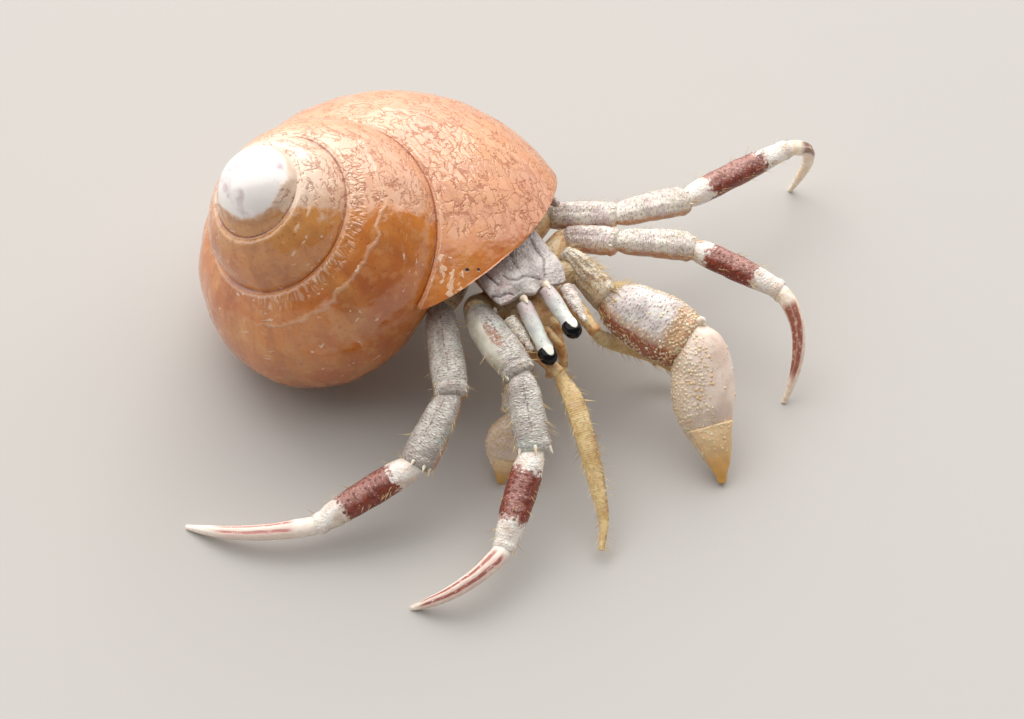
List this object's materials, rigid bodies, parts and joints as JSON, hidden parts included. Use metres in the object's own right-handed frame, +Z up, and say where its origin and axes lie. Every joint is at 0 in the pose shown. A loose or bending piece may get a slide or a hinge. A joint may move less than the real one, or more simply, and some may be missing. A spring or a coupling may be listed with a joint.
{
  "type": "hermit crab in a snail shell",
  "caption": "Still life-size hermit crab, walking legs spread and large left claw folded in front, carrying a round caramel snail shell that rests on the floor.",
  "frame": {"origin": "on the floor, under the middle of the box round the whole animal and its shell", "axes": "+Z up from the floor; the crab looks along -Y, its left side is +X; +X is the longest extent, across the spread legs"},
  "size_m": [0.0762, 0.0545, 0.0282],
  "materials": {
    "snail_shell": "wet caramel-brown snail shell, crazed growth lines, white worn apex",
    "leg_plate": "wet lavender-grey granular shell plate with dark speckles",
    "shield": "wet lavender-grey plate with purplish-brown grooves",
    "banded_plate": "wet plate, white at both ends and speckled brick red between",
    "dactyl": "wet cream plate with lengthwise red-brown stripes",
    "chela": "wet cream plate with pearly granules",
    "finger": "wet ochre-yellow plate",
    "soft_skin": "wet yellow-brown joint skin and soft body",
    "eyestalk": "wet bluish-white stalk with fine dark dots",
    "cornea": "glossy black",
    "feeler": "golden ringed feeler with a fine fringe"
  },
  "bodies": {
    "root": {"abdomen": "soft_skin", "antenna_base_left": "soft_skin", "antenna_base_right": "soft_skin", "antenna_left": "feeler", "antenna_right": "feeler", "antennal_scale_left": "shield", "antennal_scale_right": "shield", "antennule_left": "soft_skin", "antennule_right": "soft_skin", "carapace_rear": "soft_skin", "claw_left_carpus": "leg_plate", "claw_left_finger": "finger", "claw_left_merus": "leg_plate", "claw_left_palm": "chela", "claw_right_carpus": "leg_plate", "claw_right_finger": "finger", "claw_right_merus": "leg_plate", "claw_right_palm": "chela", "eye_left": "cornea", "eye_right": "cornea", "eyestalk_left": "eyestalk", "eyestalk_right": "eyestalk", "leg2_left_base": "soft_skin", "leg2_left_carpus": "leg_plate", "leg2_left_dactyl": "dactyl", "leg2_left_merus": "leg_plate", "leg2_left_propodus": "banded_plate", "leg2_right_base": "soft_skin", "leg2_right_carpus": "leg_plate", "leg2_right_dactyl": "dactyl", "leg2_right_merus": "leg_plate", "leg2_right_propodus": "banded_plate", "leg3_left_base": "soft_skin", "leg3_left_carpus": "leg_plate", "leg3_left_dactyl": "dactyl", "leg3_left_merus": "leg_plate", "leg3_left_propodus": "banded_plate", "leg3_right_base": "soft_skin", "leg3_right_carpus": "leg_plate", "leg3_right_dactyl": "dactyl", "leg3_right_merus": "leg_plate", "leg3_right_propodus": "banded_plate", "leg4_left": "leg_plate", "leg4_right": "leg_plate", "leg5_left": "leg_plate", "leg5_right": "leg_plate", "maxilliped_left": "soft_skin", "maxilliped_right": "soft_skin", "shell": "snail_shell", "shield": "shield", "thorax": "soft_skin"}
  },
  "joints": []
}
